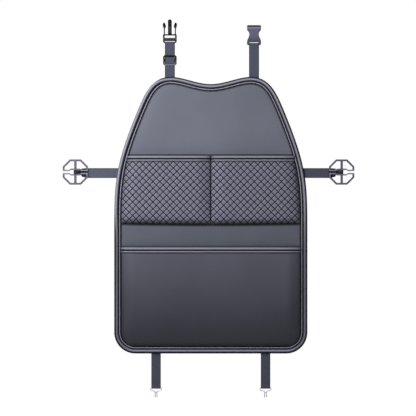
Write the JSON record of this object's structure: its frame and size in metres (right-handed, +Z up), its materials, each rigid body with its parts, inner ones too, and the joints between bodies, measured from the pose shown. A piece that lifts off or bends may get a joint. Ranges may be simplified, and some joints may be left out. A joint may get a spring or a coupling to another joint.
{
  "type": "car seat back organizer",
  "caption": "Padded leather panel that hangs on a car seat back, with two quilted upper pockets, one wide lower pocket, buckled top straps, side clips and wire hooks on webbing.",
  "frame": {"origin": "centre of the panel's rear face, halfway across its width and halfway up its height, where it lies on the seat back", "axes": "+X across the panel, to the right seen from the front; +Y from the panel into the seat back; +Z up as it hangs"},
  "size_m": [0.7282, 0.0373, 0.9443],
  "materials": {
    "face_leather": "smooth grey artificial leather, low sheen",
    "pocket_leather": "smooth dark grey artificial leather, low sheen",
    "quilted_leather": "diamond-quilted grey artificial leather, low sheen",
    "trim_leather": "grey artificial leather binding, soft highlight",
    "foam": "closed-cell foam sheet",
    "lining": "non-woven backing cloth",
    "webbing": "woven polypropylene webbing",
    "black_plastic": "moulded acetal, fine matt texture",
    "grey_plastic": "moulded acetal, fine matt texture",
    "steel_wire": "bright plated steel wire"
  },
  "bodies": {
    "panel": {"face_panel": "face_leather", "foam_core": "foam", "back_lining": "lining", "edge_binding": "trim_leather", "inner_piping": "trim_leather", "upper_pocket_left": "quilted_leather", "upper_pocket_right": "quilted_leather", "upper_hem_left": "trim_leather", "upper_hem_right": "trim_leather", "lower_pocket": "pocket_leather", "lower_hem": "trim_leather", "top_strap_left": "webbing", "top_strap_right": "webbing", "side_strap_left": "webbing", "side_strap_right": "webbing", "bottom_strap_left": "webbing", "bottom_strap_right": "webbing"},
    "male_buckle": {"male_buckle": "black_plastic"},
    "female_buckle": {"female_buckle": "grey_plastic"},
    "slider": {"strap_slider": "black_plastic"},
    "clip_left": {"side_clip_left": "grey_plastic"},
    "clip_right": {"side_clip_right": "grey_plastic"},
    "hook_left": {"wire_hook_left": "steel_wire"},
    "hook_right": {"wire_hook_right": "steel_wire"}
  },
  "joints": [
    {"name": "male_buckle_tilt", "type": "hinge", "parent": "panel", "child": "male_buckle", "pos_m": [-0.1023, -0.00225, 0.4311], "axis": [1, 0, 0], "range_deg": [-60, 60]},
    {"name": "female_buckle_tilt", "type": "hinge", "parent": "panel", "child": "female_buckle", "pos_m": [0.108, -0.00225, 0.4278], "axis": [1, 0, 0], "range_deg": [-60, 60]},
    {"name": "slider_slide", "type": "slide", "parent": "panel", "child": "slider", "axis": [0, 0, 1], "range_m": [-0.008, 0.022]},
    {"name": "clip_left_swing", "type": "hinge", "parent": "panel", "child": "clip_left", "pos_m": [-0.3382, -0.00615, 0.1078], "axis": [0, 0, -1], "range_deg": [0, 70]},
    {"name": "clip_right_swing", "type": "hinge", "parent": "panel", "child": "clip_right", "pos_m": [0.3268, -0.00615, 0.1078], "axis": [0, 0, 1], "range_deg": [0, 70]},
    {"name": "hook_left_swing", "type": "hinge", "parent": "panel", "child": "hook_left", "pos_m": [-0.1368, -0.00225, -0.4311], "axis": [1, 0, 0], "range_deg": [-75, 75]},
    {"name": "hook_right_swing", "type": "hinge", "parent": "panel", "child": "hook_right", "pos_m": [0.1368, -0.00225, -0.4311], "axis": [1, 0, 0], "range_deg": [-75, 75]}
  ]
}
